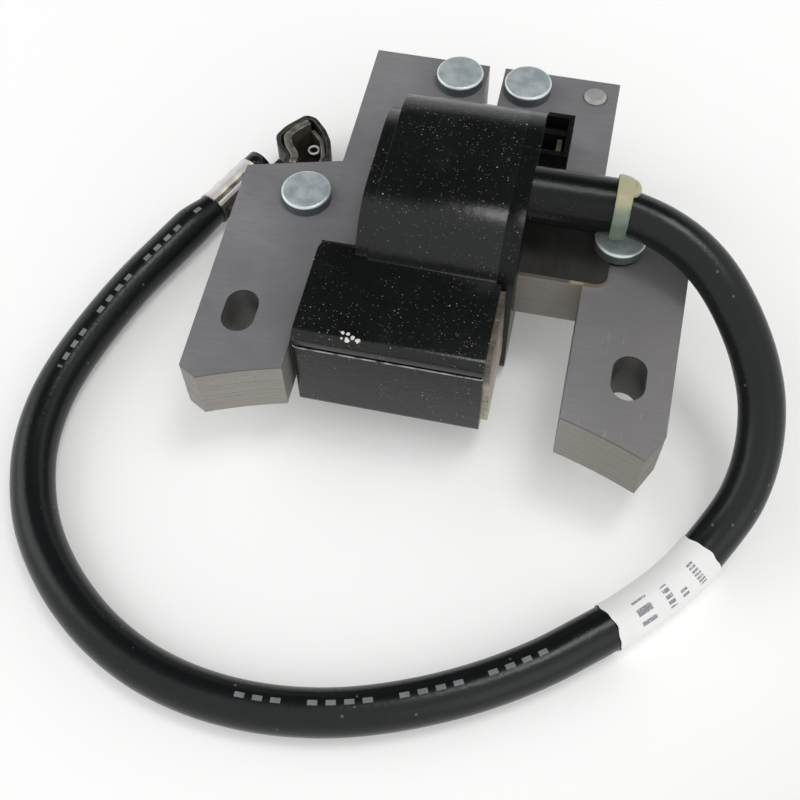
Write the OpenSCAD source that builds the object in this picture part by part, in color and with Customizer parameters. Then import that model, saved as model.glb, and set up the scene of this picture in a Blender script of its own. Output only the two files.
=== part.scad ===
// Ignition coil of a small engine: a two-legged laminated armature, a potted coil
// and trigger module on its yoke, and a high-tension lead with its spark plug clip.
// X runs across the legs, Y from the pole faces to the rear bar, Z up through the stack.
// The origin is midway between the two mounting slots, on the underside of the armature.

/* [Armature] */
// Thickness of each lamination stack
stack_t = 10.5; // [9:0.1:11]
// Distance between the centres of the two mounting slots
slot_spacing = 60; // [58:0.5:62]
// Width of each mounting slot
slot_w = 5.2; // [4.8:0.1:6]
// End to end length of each mounting slot
slot_len = 7.8; // [7:0.1:9]
// Half of the gap between the two legs
leg_inner = 21; // [20.6:0.1:21.5]
// Half of the width across the legs, at the rear
leg_outer = 37.2; // [36.8:0.1:38]
// Radius of the flywheel that the pole faces follow
pole_r = 83.3; // [75:0.1:95]
// Half of the width across the rear ears
ear_half = 21.7; // [21:0.1:22.5]
// Distance from the slots to the rear edge
rear_y = 60; // [58:0.5:64]
// Width of the slit between the ears
slit_w = 2.8; // [1.5:0.1:3.5]

/* [Core] */
// Front edge of the core bar
core_front = 16; // [15.5:0.1:16.5]
// Rear edge of the core bar
core_rear = 32; // [31.5:0.1:32.2]
// Clearance between fitted pieces
fit_gap = 0.1; // [0.05:0.05:0.2]

/* [Rivets] */
// Diameter of a rivet head
head_d = 8.2; // [7.5:0.1:9]
// Thickness of a rivet head
head_t = 2; // [1.5:0.1:2.5]
// Diameter of a rivet shank
shank_d = 4.2; // [3.5:0.1:5]

/* [Housing] */
// Height of the top of the round coil body
body_top = 23; // [22:0.5:24]
// Height of the base that the coil rests on
base_z = -10; // [-11:0.5:-9.5]
// Front of the round coil body
body_front = 9.5; // [9:0.1:10]
// Rear of the round coil body
body_rear = 45.3; // [45:0.1:45.5]
// Left end of the round coil body
body_left = -14; // [-14.1:0.1:-13.5]
// Right end of the round coil body
body_right = 10.8; // [10.5:0.1:11]
// Left side of the module box
box_left = -20; // [-20.5:0.1:-19.5]
// Right side of the module box
box_right = 9; // [8.6:0.1:9.4]
// Front of the module box
box_front = -6; // [-7:0.1:-5]
// Top of the module box
box_top = 15.5; // [15:0.1:16]
// Underside of the module box
box_base = -3.5; // [-4:0.1:-3]
// Rear of the module box's top
box_rear = 12; // [11.5:0.5:13]
// Wall thickness of the mouldings
wall = 1.5; // [1.2:0.1:1.8]

/* [Tower] */
// Height of the tower's axis
tower_z = 18.6; // [18.5:0.1:18.8]
// Distance of the tower's axis behind the slots
tower_y = 25.2; // [24.8:0.1:25.4]
// Outer diameter of the tower
tower_d = 8.8; // [8.4:0.1:8.8]
// Right end of the tower
tower_end = 23.5; // [22:0.1:24]

/* [Lead] */
// Diameter of the high-tension lead
lead_d = 7; // [6.8:0.1:7]
// Diameter of the stranded conductor
conductor_d = 2.2; // [1.6:0.1:2.6]

/* [Hidden] */
$fn = 64;
e = 0.01;

// Armature
slot_r = slot_w / 2;
pole_centre_y = -8.8 - sqrt(pow(pole_r, 2) - pow(leg_inner, 2));
leg_tip = 36.2;
shoulder_y = 28.9;
ear_root_y = 33;
window_left = body_left - 0.3;
window_right = body_right + 0.5;
window_rear = body_rear + 0.5;
tongue_split = (core_front + core_rear) / 2;
tongue_end = 10.4;
rivet_rear_at = [6, 55.4];
rivet_front_at = [25.6, 24.1];
tail_d = 6.6;
tail_t = 1.4;
pin_at = [17.8, 56];
pin_d = 3.9;

// Coil, seen along X as nested rounded rectangles round the core
core_mid = [tongue_split, stack_t / 2];
core_size = [core_rear - core_front, stack_t];
primary_wall = 0.8;
primary_t = 1.3;
secondary_wall = 0.7;
secondary_t = 3;
grow_primary = fit_gap + primary_wall;
grow_wire = grow_primary + primary_t;
grow_secondary = grow_wire + secondary_wall;
grow_coil = grow_secondary + secondary_t;
step_t = 2.2;
coil_left = body_left + step_t + wall + 0.1;
coil_right = 7.6;
flange = 1;
sections = 4;
cap_left = 8.2;

// Electronics in the module box
board_z = 3;
board_t = 1.2;
board_x = [-17, 7.8];
board_y = [-3, 8.4];
wire_r = 0.3;
wire_y = 7.4;
wire_z = 7.2;

// High-tension contact in the tower
pin_start = 7.7;
contact_r = 0.8;

// Ground tab
tab_t = 0.8;
tab_front = 15.5;
tab_rear = 27;
tab_tip = 24.6;

// Stop terminal shroud
shroud = [4.4, 9.2, 6.4];
shroud_at = [body_right - e, 35.3, stack_t + 0.2];
shroud_wall = 0.9;
pocket = [3.5, 3.5, 10];
rear_bay = [3.5, 3, 3];
blade_y = [37.2, 38.6];
blade_z = [13.4, 14.2];

// Lead
seal_r = tower_z - stack_t - tab_t - head_t - 0.05;
seal_t = 2.5;
lead_start = 13;
table_z = base_z + lead_d / 2;
crimp_r = lead_d / 2 + 0.5;
end_z = base_z + crimp_r + 0.05;
lead_route = [
  [lead_start, tower_y, tower_z], [18, tower_y, tower_z], [22.5, tower_y - 0.1, tower_z],
  [27, 24.3, 18.4], [31.7, 22.8, 18], [36.3, 20.6, 17], [40.6, 17.4, 15.3],
  [44.6, 13.1, 12.7], [48.1, 8.1, 9.4], [50.4, 2.4, 6], [51, -4, 2.6], [49.9, -10.2, -0.6],
  [47, -16, -3.4], [42.5, -23, -5.4], [36.5, -29.6, -6.2], [30, -35.4, -6.2],
  [24, -40.2, -6.4], [16.5, -45, table_z], [8.5, -49, table_z], [0.5, -52, table_z],
  [-7, -53.8, table_z], [-15, -54.6, table_z], [-23, -54.2, table_z],
  [-30.5, -52.6, table_z], [-37, -50, table_z], [-43, -46.4, table_z],
  [-49, -41.4, table_z], [-54.4, -35, table_z], [-58.2, -27.8, table_z],
  [-60.5, -20, table_z], [-61, -11, table_z], [-59.4, -1, table_z],
  [-55.8, 11.4, table_z], [-51.2, 22.2, -6.2], [-47.1, 31.3, end_z],
  [-44.05, 38.15, end_z], [-41, 45, end_z]
];
lead_sides = 10;
label_from = 12.4;
label_to = 14.5;
label_t = 0.2;

// Spark plug clip
clip_at = [-33.6, 50.2];
clip_bore_r = 3.15;
clip_wall = 0.9;
clip_h = 8;
sheet_t = 0.8;
crimp_from = 14.5;
crimp_to = 5;
lead_end_turn = 66;

module centred_block(x, y, z) {
  translate([x[0], y[0], z[0]])
    cube([x[1] - x[0], y[1] - y[0], z[1] - z[0]]);
}

// Lays a drawing of the Y-Z plane along X, from x0 to x1
module along_x(x0, x1) {
  translate([x0, 0, 0])
    rotate([90, 0, 90])
      linear_extrude(x1 - x0)
        children();
}

// A cylinder along X
module rod_x(r, x0, x1, y, z) {
  translate([x0, y, z])
    rotate([0, 90, 0])
      cylinder(r = r, h = x1 - x0);
}

// A rectangle with four true round corners
module round_rect(size, r) {
  for (x = [r, size[0] - r], y = [r, size[1] - r])
    translate([x, y])
      circle(r);
  translate([r, 0])
    square([size[0] - 2 * r, size[1]]);
  translate([0, r])
    square([size[0], size[1] - 2 * r]);
}

// The core's outline grown by g on every side, with corners of radius r
module core_ring(g, r) {
  translate([core_mid[0] - core_size[0] / 2 - g, core_mid[1] - core_size[1] / 2 - g])
    round_rect([core_size[0] + 2 * g, core_size[1] + 2 * g], r);
}

// Armature ----------------------------------------------------------------

module slot_cut(x) {
  translate([x, 0, -1])
    linear_extrude(stack_t + 2) {
      for (s = [-1, 1])
        translate([0, s * (slot_len / 2 - slot_r)])
          circle(slot_r);
      translate([-slot_r, -(slot_len / 2 - slot_r)])
        square([slot_w, slot_len - slot_w]);
    }
}

module shank_cut(at, d) {
  translate([at[0], at[1], -1])
    cylinder(d = d + 2 * fit_gap, h = stack_t + 2);
}

module pole_cut() {
  translate([0, pole_centre_y, -1])
    cylinder(r = pole_r, h = stack_t + 2, $fn = 256);
}

// One half of the armature, drawn on the right and mirrored for the left.
// tip lists the leg's outer corner; inner lists its half of the core.
module half_stack(side, tip, inner, window_x) {
  difference() {
    linear_extrude(stack_t)
      polygon(concat(
        [[side * leg_inner, -14.6], [side * leg_inner, core_front]],
        inner,
        [[window_x, core_rear], [window_x, window_rear],
         [side * slit_w / 2, window_rear], [side * slit_w / 2, rear_y],
         [side * ear_half, rear_y], [side * ear_half, ear_root_y],
         [side * leg_outer, shoulder_y]],
        tip));
    pole_cut();
    slot_cut(side * slot_spacing / 2);
    shank_cut([side * rivet_rear_at[0], rivet_rear_at[1]], shank_d);
    shank_cut([side * rivet_front_at[0], rivet_front_at[1]], shank_d);
    if (side > 0)
      shank_cut(pin_at, pin_d);
  }
}

module left_lamination_stack() {
  color([0.5, 0.5, 0.51])
    half_stack(-1,
      [[-leg_tip, -11.4], [-33.5, -12.9], [-31, -14.6]],
      [[tongue_end - fit_gap, core_front],
       [tongue_end - fit_gap, tongue_split - fit_gap / 2],
       [-tongue_end, tongue_split - fit_gap / 2], [-tongue_end, core_rear]],
      window_left);
}

module right_lamination_stack() {
  color([0.5, 0.5, 0.51])
    half_stack(1,
      [[leg_tip + 0.2, -8.6], [33.2, -14.6]],
      [[tongue_end, core_front], [tongue_end, tongue_split + fit_gap / 2],
       [fit_gap - tongue_end, tongue_split + fit_gap / 2],
       [fit_gap - tongue_end, core_rear]],
      window_right);
}

// A rivet whose head stands on a face at height z
module rivet(at, z) {
  color([0.72, 0.76, 0.8])
    translate([at[0], at[1], 0])
      rotate_extrude()
        polygon([[0, -tail_t], [tail_d / 2 - 0.8, -tail_t], [tail_d / 2, -tail_t + 0.6],
          [tail_d / 2, 0], [shank_d / 2, 0], [shank_d / 2, z], [head_d / 2, z],
          [head_d / 2, z + head_t - 0.4], [head_d / 2 - 0.35, z + head_t], [0, z + head_t]]);
}

module rivet_rear_left() {
  rivet([-rivet_rear_at[0], rivet_rear_at[1]], stack_t);
}

module rivet_rear_right() {
  rivet(rivet_rear_at, stack_t);
}

module rivet_front_left() {
  rivet([-rivet_front_at[0], rivet_front_at[1]], stack_t);
}

module rivet_front_right() {
  rivet(rivet_front_at, stack_t + tab_t);
}

module locating_pin() {
  color([0.7, 0.7, 0.71])
    translate([pin_at[0], pin_at[1], 0])
      rotate_extrude()
        polygon([[0, 0], [pin_d / 2, 0], [pin_d / 2, stack_t + 0.3],
          [pin_d / 2 - 0.5, stack_t + 0.8], [0, stack_t + 0.8]]);
}

module ground_tab() {
  color([0.42, 0.42, 0.4])
    difference() {
      translate([0, 0, stack_t])
        linear_extrude(tab_t) {
          translate([body_right, tab_front])
            square([tab_tip - 1.8 - body_right, tab_rear - tab_front]);
          translate([tab_tip - 1.9, tab_front + 1.8])
            square([1.9, 7]);
          translate([tab_tip - 1.8, tab_front + 1.8])
            circle(1.8);
          translate(rivet_front_at)
            circle(3.8);
        }
      shank_cut(rivet_front_at, shank_d);
    }
}

// Mouldings ---------------------------------------------------------------

// Outline of the round coil body along X, shrunk by s. rear moves its back wall.
module body_outline(s, rear) {
  front_r = 10 - s;
  rear_r = 12 - s;
  low_r = 4 - s;
  y0 = body_front + s;
  y1 = rear - s;
  z0 = base_z + s;
  z1 = body_top - s;
  translate([y0 + front_r, z1 - front_r])
    circle(front_r);
  translate([y1 - rear_r, z1 - rear_r])
    circle(rear_r);
  for (y = [y0 + low_r, y1 - low_r])
    translate([y, z0 + low_r])
      circle(low_r);
  translate([y0 + front_r, z0])
    square([y1 - rear_r - y0 - front_r, z1 - z0]);
  translate([y0, z0 + low_r])
    square([y1 - y0, z1 - rear_r - z0 - low_r]);
  translate([y0 + low_r, z0])
    square([y1 - y0 - 2 * low_r, low_r * 2]);
  translate([y0, z0 + low_r])
    square([front_r * 1.5, z1 - front_r - z0 - low_r]);
}

// The module box as a rounded block shrunk by s
module box_block(s, x0, x1, y1) {
  r = 1.6 - s * 0.6;
  z0 = box_base + s;
  z1 = box_top - s;
  y0 = box_front + s;
  along_x(x0, x1)
    union() {
      translate([y0, z0])
        round_rect([y1 - y0, z1 - z0], r);
      translate([y0 + r, z0])
        square([y1 - y0 - r, z1 - z0]);
    }
}

module core_window(x0, x1) {
  centred_block([x0, x1], [core_front - fit_gap, core_rear + fit_gap],
    [-fit_gap, stack_t + fit_gap]);
}

// The space inside the housing, before anything is put in it
module cavity() {
  along_x(body_left + step_t + wall, cap_left)
    body_outline(wall, body_rear);
  box_block(wall, box_left + wall, cap_left, box_rear - wall);
  box_block(wall, box_left + wall, box_right + e, body_front);
  box_block(wall, body_left + step_t + wall, cap_left, body_front + 8);
}

module coil_housing() {
  color([0.09, 0.1, 0.1])
    difference() {
      union() {
        along_x(body_left, body_left + step_t)
          body_outline(0.6, body_rear - 2.8);
        along_x(body_left + step_t - 0.1, cap_left)
          body_outline(0, body_rear);
        box_block(0, box_left, cap_left, box_rear);
        box_block(0, box_left, box_right, body_front);
      }
      cavity();
      core_window(body_left - 1, coil_left);
      // groove under the front lip of the box
      centred_block([box_left - 1, box_right + 1], [box_front - 1, box_front + 0.35],
        [box_top - 3.1, box_top - 2.5]);
    }
}

module housing_end_cap() {
  color([0.08, 0.09, 0.09])
    difference() {
      union() {
        along_x(cap_left, body_right)
          body_outline(0, body_rear);
        rod_x(tower_d / 2, body_right - e, tower_end, tower_y, tower_z);
        translate(shroud_at)
          cube(shroud);
      }
      core_window(cap_left - 1, body_right + 1);
      // socket for the lead
      rod_x(lead_d / 2 + 0.05, lead_start, tower_end + 1, tower_y, tower_z);
      rod_x(contact_r + 0.05, cap_left - 1, lead_start + 1, tower_y, tower_z);
      // pocket of the stop terminal and the empty bay behind it
      translate(shroud_at + [e, shroud_wall, 1])
        cube(pocket);
      translate(shroud_at + [e, shroud[1] - shroud_wall - rear_bay[1], shroud[2] - 2.6])
        cube(rear_bay);
      centred_block([cap_left - 1, body_right + 2], blade_y + [-0.05, 0.05],
        blade_z + [-0.05, 0.05]);
    }
}

// Coil --------------------------------------------------------------------

// A bobbin: a tube from outline g0 to g1, with end flanges out to g2
module bobbin(g0, g1, g2, r) {
  difference() {
    union() {
      along_x(coil_left, coil_right)
        core_ring(g1, r);
      for (x = [coil_left, coil_right - flange])
        along_x(x, x + flange)
          core_ring(g2, r + g2 - g1);
    }
    along_x(coil_left - 1, coil_right + 1)
      core_ring(g0, max(r - (g1 - g0), 0.3));
  }
}

module winding(g0, g1, r, x0, x1) {
  difference() {
    along_x(x0, x1)
      core_ring(g1, r + g1 - g0);
    along_x(x0 - 1, x1 + 1)
      core_ring(g0, r);
  }
}

module primary_bobbin() {
  color([0.85, 0.83, 0.76])
    bobbin(fit_gap, grow_primary, grow_wire, 1);
}

module primary_winding() {
  color([0.72, 0.36, 0.16])
    winding(grow_primary, grow_wire, 1, coil_left + flange, coil_right - flange);
}

// Place of divider i between the sections of the secondary winding
function divider(i) =
  coil_left + flange + i * (coil_right - coil_left - 2 * flange) / sections;

module secondary_bobbin() {
  color([0.88, 0.86, 0.8])
    difference() {
      union() {
        bobbin(grow_wire, grow_secondary, grow_coil, 3);
        // dividers between the winding sections
        for (i = [1 : sections - 1])
          along_x(divider(i) - 0.25, divider(i) + 0.25)
            core_ring(grow_coil, 6);
      }
      along_x(coil_left - 1, coil_right + 1)
        core_ring(grow_wire, 2.3);
    }
}

module secondary_winding() {
  color([0.6, 0.26, 0.1])
    for (i = [0 : sections - 1])
      winding(grow_secondary, grow_coil, 3,
        i == 0 ? coil_left + flange : divider(i) + 0.25,
        i == sections - 1 ? coil_right - flange : divider(i + 1) - 0.25);
}

module ht_contact_pin() {
  color([0.78, 0.62, 0.3])
    rod_x(contact_r, pin_start, lead_start, tower_y, tower_z);
}

// Runs up from the winding, over its flange and along to the contact pin
module ht_link_wire() {
  wire_x = coil_right - flange - 1;
  coil_top = stack_t + grow_coil;
  color([0.72, 0.36, 0.16])
    union() {
      translate([wire_x, tower_y, coil_top])
        cylinder(r = wire_r, h = tower_z - coil_top);
      translate([wire_x, tower_y, tower_z])
        sphere(r = wire_r);
      rod_x(wire_r, wire_x, pin_start, tower_y, tower_z);
    }
}

module stop_terminal() {
  color([0.8, 0.72, 0.5])
    union() {
      centred_block([cap_left + 0.2, body_right + 3], blade_y, blade_z);
      centred_block([body_right + 2.2, body_right + 3], [36.6, 39.2], [12.2, 16.6]);
    }
}

// Trigger module ----------------------------------------------------------

module circuit_board() {
  color([0.16, 0.36, 0.2])
    centred_block(board_x, board_y, [board_z, board_z + board_t]);
}

module switching_transistor() {
  color([0.12, 0.12, 0.13])
    centred_block([-14, -4], [-1, 5], [board_z + board_t, board_z + board_t + 3.2]);
}

module trigger_resistor() {
  color([0.62, 0.5, 0.34])
    rod_x(1.2, -2, 4.6, 1, board_z + board_t + 1.2);
}

module board_diode() {
  color([0.15, 0.15, 0.16])
    rod_x(1, -2, 3.4, 5.6, board_z + board_t + 1);
}

// One wire from each end flange of the coil down to the board
module primary_wires() {
  coil_front = core_front - grow_coil;
  color([0.72, 0.36, 0.16])
    for (x = [coil_left + flange / 2, coil_right - flange / 2])
      union() {
        translate([x, wire_y, board_z + board_t])
          cylinder(r = wire_r, h = wire_z - board_z - board_t);
        translate([x, wire_y, wire_z])
          sphere(r = wire_r);
        translate([x, wire_y, wire_z])
          rotate([-90, 0, 0])
            cylinder(r = wire_r, h = coil_front - wire_y);
      }
}

module potting_compound() {
  color([0.82, 0.77, 0.66])
    difference() {
      union() {
        difference() {
          cavity();
          // the coil's own space
          along_x(body_left, cap_left + 1)
            core_ring(grow_coil, 6);
          core_window(body_left - 1, cap_left + 1);
        }
        // meniscus that stands out of the open side of the box
        box_block(wall, box_right, box_right + 1.2, body_front - 0.2);
      }
      circuit_board();
      switching_transistor();
      trigger_resistor();
      board_diode();
      primary_wires();
      ht_contact_pin();
      ht_link_wire();
      stop_terminal();
    }
}

module tower_seal() {
  color([0.8, 0.84, 0.74])
    difference() {
      rod_x(seal_r, tower_end, tower_end + seal_t, tower_y, tower_z);
      rod_x(lead_d / 2, tower_end - 1, tower_end + seal_t + 1, tower_y, tower_z);
    }
}

// Lead --------------------------------------------------------------------

last = len(lead_route) - 1;

// The route's point at i, with straight run-outs past both ends
function knot(i) =
  i < 0 ? 2 * lead_route[0] - lead_route[1]
  : i > last ? 2 * lead_route[last] - lead_route[last - 1]
  : lead_route[i];

// A point on the smooth curve through the route, where u counts its points
function on_route(u) =
  let (i = min(floor(u), last - 1), t = u - i,
       a = knot(i - 1), b = knot(i), c = knot(i + 1), d = knot(i + 2))
    b + t * (c - a) / 2
      + t * t * (a - 5 * b / 2 + 2 * c - d / 2)
      + t * t * t * (3 * b - a - 3 * c + d) / 2;

function unit(v) = v / norm(v);

function heading(u) = unit(on_route(min(u + 0.01, last)) - on_route(max(u - 0.01, 0)));

// A ring of n points of radius r round the route at u
function ring(u, r, n) =
  let (f = heading(u), s = unit(cross([0, 0, 1], f)), w = cross(f, s), p = on_route(u))
    [for (k = [0 : n - 1]) p + r * (cos(360 * k / n) * s + sin(360 * k / n) * w)];

// A solid or hollow tube along the route, through the places us
module tube(us, r, bore, n) {
  m = len(us);
  outer = [for (u = us) each ring(u, r, n)];
  inner = [for (u = us) each ring(u, bore > 0 ? bore : 1, n)];
  skin = [for (i = [0 : m - 2], k = [0 : n - 1])
    [i * n + k, i * n + (k + 1) % n, (i + 1) * n + (k + 1) % n, (i + 1) * n + k]];
  o = m * n;
  hole = [for (i = [0 : m - 2], k = [0 : n - 1])
    [o + i * n + k, o + (i + 1) * n + k, o + (i + 1) * n + (k + 1) % n, o + i * n + (k + 1) % n]];
  rims = [for (k = [0 : n - 1]) each [
    [k, o + k, o + (k + 1) % n, (k + 1) % n],
    [(m - 1) * n + k, (m - 1) * n + (k + 1) % n, o + (m - 1) * n + (k + 1) % n, o + (m - 1) * n + k]]];
  caps = [[for (k = [n - 1 : -1 : 0]) k], [for (k = [0 : n - 1]) (m - 1) * n + k]];
  if (bore > 0)
    polyhedron(concat(outer, inner), concat(skin, hole, rims), convexity = 10);
  else
    polyhedron(outer, concat(skin, caps), convexity = 10);
}

label_places = [
  label_from,
  for (i = [ceil(label_from) : floor(label_to)]) i,
  label_to
];
lead_places = [
  for (i = [0 : floor(label_from)]) i,
  each label_places,
  for (i = [ceil(label_to) : last]) i
];

module lead_jacket() {
  color([0.05, 0.05, 0.06])
    tube(lead_places, lead_d / 2, conductor_d / 2 + 0.05, lead_sides);
}

module lead_conductor() {
  color([0.75, 0.5, 0.3])
    tube(lead_places, conductor_d / 2, 0, lead_sides);
}

module lead_label() {
  color([0.94, 0.94, 0.93])
    tube(label_places, lead_d / 2 + 0.02 + label_t, lead_d / 2 + 0.02, lead_sides);
}

// Places its children at the lead's cut end, with X pointing out of the lead
module at_lead_end() {
  translate(lead_route[last])
    rotate([0, 0, lead_end_turn])
      children();
}

module clip_cylinder(r, z0, z1) {
  translate([clip_at[0], clip_at[1], z0])
    cylinder(r = r, h = z1 - z0);
}

module plug_terminal() {
  color([0.55, 0.54, 0.5])
    difference() {
      union() {
        // crimp round the lead
        at_lead_end()
          rotate([0, 90, 0])
            translate([0, 0, -crimp_from])
              cylinder(r = crimp_r, h = crimp_from - crimp_to);
        // strap along the lead's side, from the crimp to the clip
        at_lead_end()
          translate([-crimp_from, -crimp_r - 0.35, -2.4])
            cube([crimp_from + 4, sheet_t, 4.8]);
        clip_cylinder(clip_bore_r + clip_wall, base_z, base_z + clip_h);
      }
      at_lead_end()
        rotate([0, 90, 0])
          translate([0, 0, -crimp_from - 1])
            cylinder(r = lead_d / 2 + 0.05, h = crimp_from + 8);
      clip_cylinder(clip_bore_r, base_z - 1, base_z + clip_h + 1);
      // slit that lets the clip spring open
      translate([clip_at[0], clip_at[1], base_z - 1])
        rotate([0, 0, 40])
          translate([0, -0.8, 0])
            cube([8, 1.6, clip_h + 2]);
    }
}

left_lamination_stack();
right_lamination_stack();
rivet_rear_left();
rivet_rear_right();
rivet_front_left();
rivet_front_right();
locating_pin();
coil_housing();
housing_end_cap();
primary_bobbin();
primary_winding();
secondary_bobbin();
secondary_winding();
primary_wires();
circuit_board();
switching_transistor();
trigger_resistor();
board_diode();
potting_compound();
ht_contact_pin();
ht_link_wire();
stop_terminal();
ground_tab();
tower_seal();
lead_jacket();
lead_conductor();
lead_label();
plug_terminal();
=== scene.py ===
# %% [markdown]
# # An ignition coil, finished in Blender
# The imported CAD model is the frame: it fixes every size and place. This lesson builds the
# visible pieces round it, one at a time, in metres. X runs across the two legs, Y from the
# pole faces to the rear ears, and Z up through the stack of steel sheets.

# %% Load the frame
import math
import random

import bmesh
import bpy
from mathutils import Matrix, Vector


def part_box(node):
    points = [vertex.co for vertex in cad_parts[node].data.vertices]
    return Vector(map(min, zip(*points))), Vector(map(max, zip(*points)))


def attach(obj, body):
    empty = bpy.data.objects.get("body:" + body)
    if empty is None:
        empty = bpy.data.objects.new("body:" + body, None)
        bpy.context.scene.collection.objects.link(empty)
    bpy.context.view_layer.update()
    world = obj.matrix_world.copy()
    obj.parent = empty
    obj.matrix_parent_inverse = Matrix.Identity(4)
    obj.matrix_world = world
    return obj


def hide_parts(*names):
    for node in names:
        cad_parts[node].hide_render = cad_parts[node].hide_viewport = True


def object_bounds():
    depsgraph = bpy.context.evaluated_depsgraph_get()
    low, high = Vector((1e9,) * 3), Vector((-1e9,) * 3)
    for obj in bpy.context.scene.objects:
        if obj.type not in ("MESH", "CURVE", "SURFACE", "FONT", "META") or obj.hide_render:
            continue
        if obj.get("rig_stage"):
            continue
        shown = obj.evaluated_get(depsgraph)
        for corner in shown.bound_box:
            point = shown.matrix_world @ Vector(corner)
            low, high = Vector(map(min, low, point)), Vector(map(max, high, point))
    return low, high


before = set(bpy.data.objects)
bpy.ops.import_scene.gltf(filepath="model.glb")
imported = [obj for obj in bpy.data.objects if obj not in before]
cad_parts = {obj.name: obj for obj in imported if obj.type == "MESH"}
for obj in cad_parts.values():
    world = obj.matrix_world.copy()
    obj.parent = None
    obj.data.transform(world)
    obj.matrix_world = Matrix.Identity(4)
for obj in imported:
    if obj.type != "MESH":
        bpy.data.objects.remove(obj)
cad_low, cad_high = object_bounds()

MM = 0.001
print("CAD nodes:", len(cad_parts), "box:", tuple(cad_low), tuple(cad_high))

# %% [markdown]
# ## The camera
# The coil is looked down on from close by, 0.18 m away, steeply and a little from the
# right.

# %% Camera
CAMERA_PLACE = Vector((0.0174, -0.0945, 0.1552))
CAMERA_TURN = (math.radians(30.76), math.radians(0.61), math.radians(12.27))
CAMERA_LENS = 51.6
SENSOR_WIDTH = 36
NEAREST_SEEN = 0.01

camera_data = bpy.data.cameras.new("camera")
camera_data.lens = CAMERA_LENS
camera_data.sensor_width = SENSOR_WIDTH
camera_data.clip_start = NEAREST_SEEN
camera = bpy.data.objects.new("camera", camera_data)
camera.location = CAMERA_PLACE
camera.rotation_euler = CAMERA_TURN
bpy.context.scene.collection.objects.link(camera)
bpy.context.scene.camera = camera
print("camera at", tuple(CAMERA_PLACE))

# %% [markdown]
# ## Shader maths as expressions
# A material here is a small program. Wrapping a socket in a class lets `noise * 0.3 + 0.5`
# add the Math nodes by itself, so each finish below reads like a formula.

# %% A socket that does maths
TUBE_MAP = "along"


class Wire:
    """An output socket, with the arithmetic that adds Math nodes."""

    def __init__(self, shop, socket):
        self.shop = shop
        self.socket = socket

    def _math(self, operation, a, b):
        made = self.shop.node("ShaderNodeMath", {"operation": operation}, {0: a, 1: b})
        return made.out("Value")

    def __add__(self, other):
        return self._math("ADD", self, other)

    def __radd__(self, other):
        return self._math("ADD", other, self)

    def __sub__(self, other):
        return self._math("SUBTRACT", self, other)

    def __rsub__(self, other):
        return self._math("SUBTRACT", other, self)

    def __mul__(self, other):
        return self._math("MULTIPLY", self, other)

    def __rmul__(self, other):
        return self._math("MULTIPLY", other, self)

    def __gt__(self, other):
        return self._math("GREATER_THAN", self, other)

    def __lt__(self, other):
        return self._math("LESS_THAN", self, other)

    def fraction(self):
        return self._math("FRACT", self, 0)

    def size(self):
        return self._math("ABSOLUTE", self, 0)

    def step(self, low, high):
        """0 below low, 1 above high, and smooth between them."""
        settings = {"interpolation_type": "SMOOTHSTEP"}
        values = {"Value": self, "From Min": low, "From Max": high}
        return self.shop.node("ShaderNodeMapRange", settings, values).out("Result")


class Made:
    """A node that was just added, so that its outputs can be named."""

    def __init__(self, shop, node):
        self.shop = shop
        self.node = node

    def out(self, name):
        return Wire(self.shop, self.node.outputs[name])


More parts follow.
